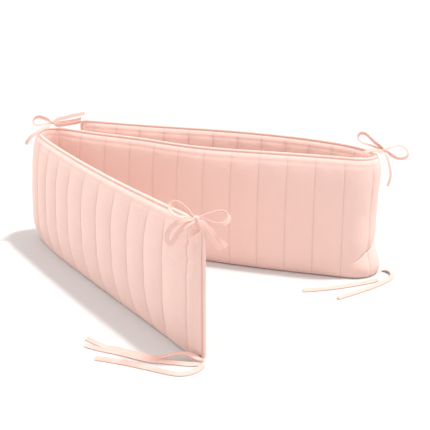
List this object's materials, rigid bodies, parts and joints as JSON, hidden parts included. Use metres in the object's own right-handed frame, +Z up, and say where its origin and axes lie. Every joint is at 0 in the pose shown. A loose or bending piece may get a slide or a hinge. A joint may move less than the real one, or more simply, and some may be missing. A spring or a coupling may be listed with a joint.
{
  "type": "crib bumper",
  "caption": "Quilted crib bumper: a padded cloth band standing on its long edge in a zigzag fold, with a corded edge all round and tape ties, some tied in bows",
  "frame": {"origin": "on the floor, at the middle of the bounding box of the pad and its corded edge", "axes": "+Z up, away from the floor. +Y points away from the free front end, towards the folds behind it. +X points to the right, from the left fold to the right fold"},
  "size_m": [0.8375, 0.8308, 0.3002],
  "materials": {
    "pad": "matte woven cotton",
    "piping": "matte woven cotton",
    "tape": "matte woven cotton"
  },
  "bodies": {
    "root": {"pad": "pad", "piping": "piping", "knot_a": "tape", "knot_b": "tape", "knot_c": "tape", "bow_a_left_loop": "tape", "bow_a_right_loop": "tape", "bow_a_low_loop": "tape", "bow_a_front_tail": "tape", "bow_a_back_tail": "tape", "bow_b_loop": "tape", "bow_b_strap": "tape", "bow_b_back_tail": "tape", "bow_b_middle_tail": "tape", "bow_b_front_tail": "tape", "bow_c_left_loop": "tape", "bow_c_strap": "tape", "bow_c_right_loop": "tape", "bow_c_tail": "tape", "bottom_tie_a_arched": "tape", "bottom_tie_a_flat": "tape", "bottom_tie_a_front": "tape", "bottom_tie_c_long": "tape", "bottom_tie_c_short": "tape"}
  },
  "joints": []
}
